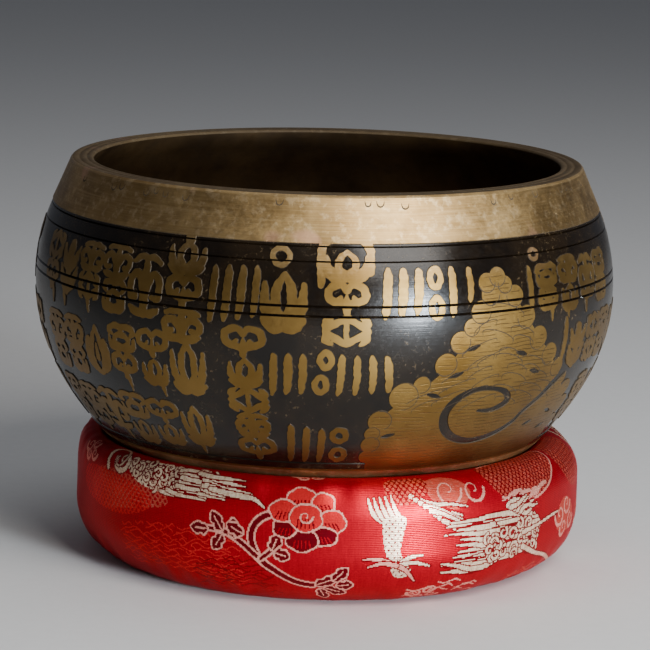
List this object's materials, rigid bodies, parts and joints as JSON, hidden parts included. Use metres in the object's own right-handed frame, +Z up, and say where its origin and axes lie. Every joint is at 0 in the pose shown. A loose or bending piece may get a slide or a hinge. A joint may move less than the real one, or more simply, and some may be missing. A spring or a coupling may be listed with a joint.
{
  "type": "singing bowl on ring cushion",
  "caption": "Deep round metal singing bowl with an etched ornamental wall, standing loose in a padded brocade ring cushion.",
  "frame": {"origin": "on the table, at the middle of the ring cushion's underside", "axes": "+Z up along the common axis of the bowl and the ring cushion, +Y towards the cushion's closing seam at the back"},
  "size_m": [0.1694, 0.1694, 0.117],
  "materials": {
    "bell_metal": "satin cast bell metal with a brown patina, dark in the etched ground",
    "brocade": "red satin brocade with gold figures",
    "lining": "plain red satin",
    "wadding": "soft off-white wadding",
    "thread": "twisted red cotton thread"
  },
  "bodies": {
    "cushion": {"cushion_outer_panel": "brocade", "cushion_inner_panel": "lining", "cushion_filling": "wadding", "cushion_upper_stitches": "thread", "cushion_lower_stitches": "thread", "cushion_end_stitches": "thread"},
    "bowl": {"bowl": "bell_metal"}
  },
  "joints": [
    {"name": "bowl_lift", "type": "slide", "parent": "cushion", "child": "bowl", "axis": [0, 0, 1], "range_m": [0, 0.12]}
  ]
}
